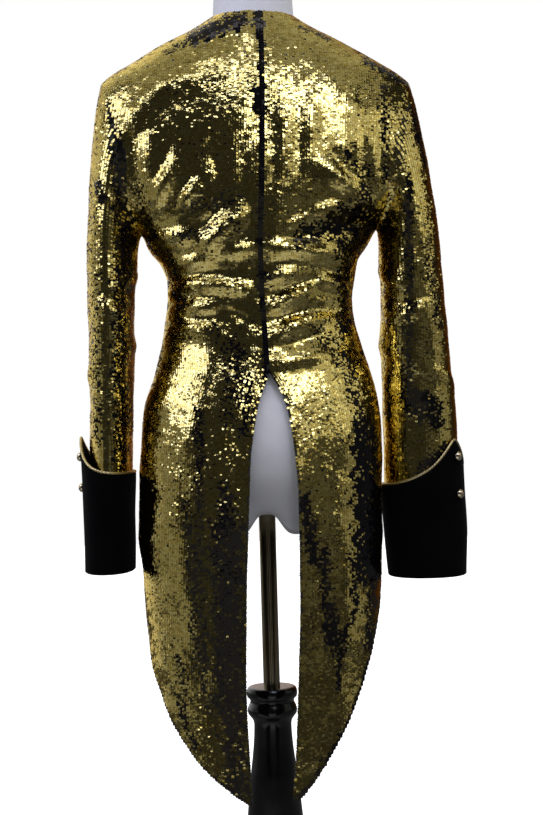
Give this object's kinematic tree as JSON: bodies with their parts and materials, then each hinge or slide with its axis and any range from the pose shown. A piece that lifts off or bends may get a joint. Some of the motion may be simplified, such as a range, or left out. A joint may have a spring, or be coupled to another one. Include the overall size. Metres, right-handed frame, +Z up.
{
  "type": "sequin tailcoat on dress form",
  "caption": "Cropped-front tailcoat of sequin cloth with gauntlet cuffs, worn by a limbless dress form on a pole, turned column and round base.",
  "frame": {"origin": "centre of the round base's underside, on the floor", "axes": "+Z up, the coat's back faces -Y, its front faces +Y, and its wearer's right side is +X"},
  "size_m": [0.5106, 0.37, 1.5309],
  "materials": {
    "sequin_cloth": "gold and black two-sided sequins sewn in rows on knit cloth",
    "velvet": "black velvet",
    "gold_piping": "metallic gold piping",
    "button_metal": "polished domed metal",
    "jersey": "white stretch jersey over a smooth form",
    "pole_brass": "polished tube",
    "black_lacquer": "black gloss lacquer on turned wood"
  },
  "bodies": {
    "root": {"back_left": "sequin_cloth", "back_right": "sequin_cloth", "front_left": "sequin_cloth", "front_right": "sequin_cloth", "sleeve_left": "sequin_cloth", "sleeve_right": "sequin_cloth", "cuff_left": "velvet", "cuff_right": "velvet", "cuff_piping_left": "gold_piping", "cuff_piping_right": "gold_piping", "cuff_button_upper_left": "button_metal", "cuff_button_lower_left": "button_metal", "cuff_button_upper_right": "button_metal", "cuff_button_lower_right": "button_metal", "dress_form": "jersey", "stand_pole": "pole_brass", "stand_column": "black_lacquer", "stand_base": "black_lacquer"}
  },
  "joints": []
}
